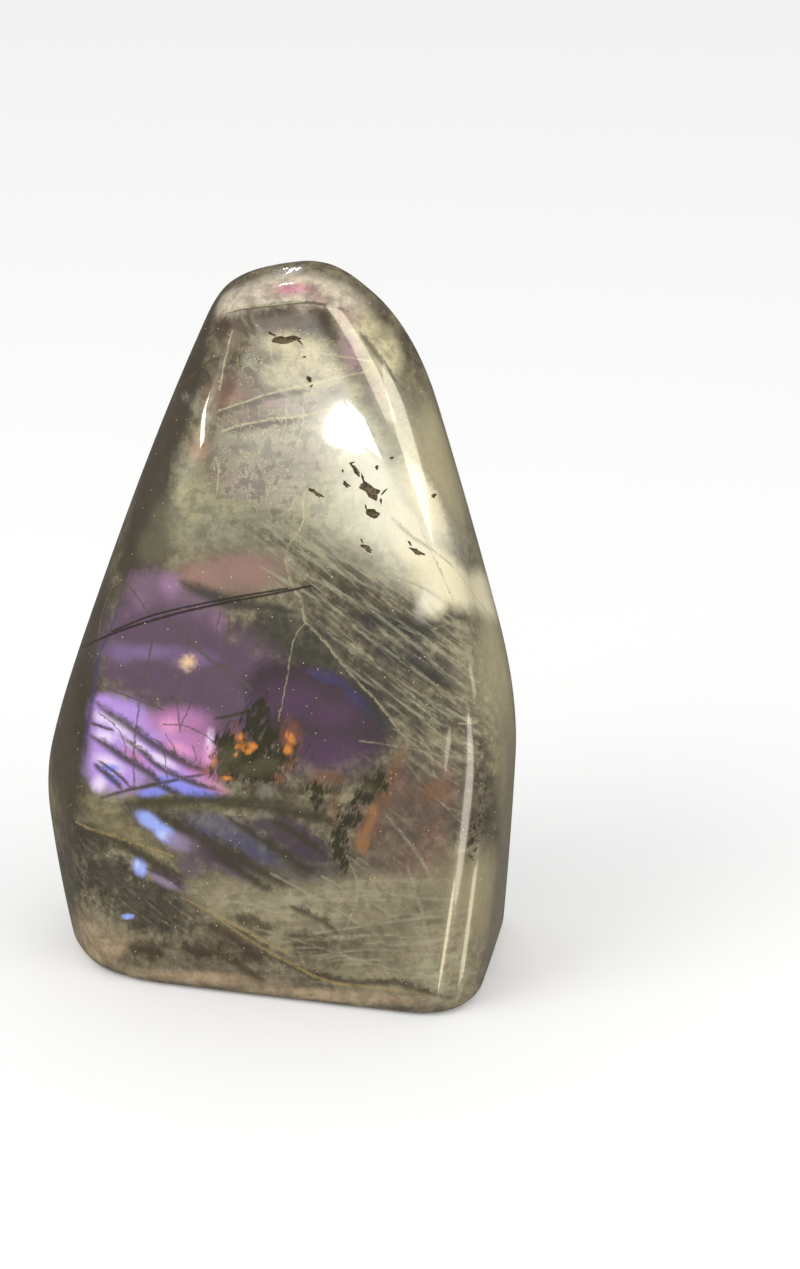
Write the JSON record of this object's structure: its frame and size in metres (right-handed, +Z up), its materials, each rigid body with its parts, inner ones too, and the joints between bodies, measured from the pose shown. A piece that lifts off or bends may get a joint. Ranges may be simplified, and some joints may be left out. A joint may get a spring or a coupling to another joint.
{
  "type": "polished labradorite free-form",
  "caption": "Upright free-form of polished labradorite with a flat base, broad below and tapering to a blunt slanting top; stands on a shelf or desk as an ornament.",
  "frame": {"origin": "on the flat base, under the middle of the stone's bounding box", "axes": "+Z up along the stone's height, -Y out of its broad polished front, +X to the right as seen from the front"},
  "size_m": [0.0783, 0.0429, 0.1147],
  "materials": {
    "labradorite": "high polish"
  },
  "bodies": {
    "root": {"labradorite": "labradorite"}
  },
  "joints": []
}
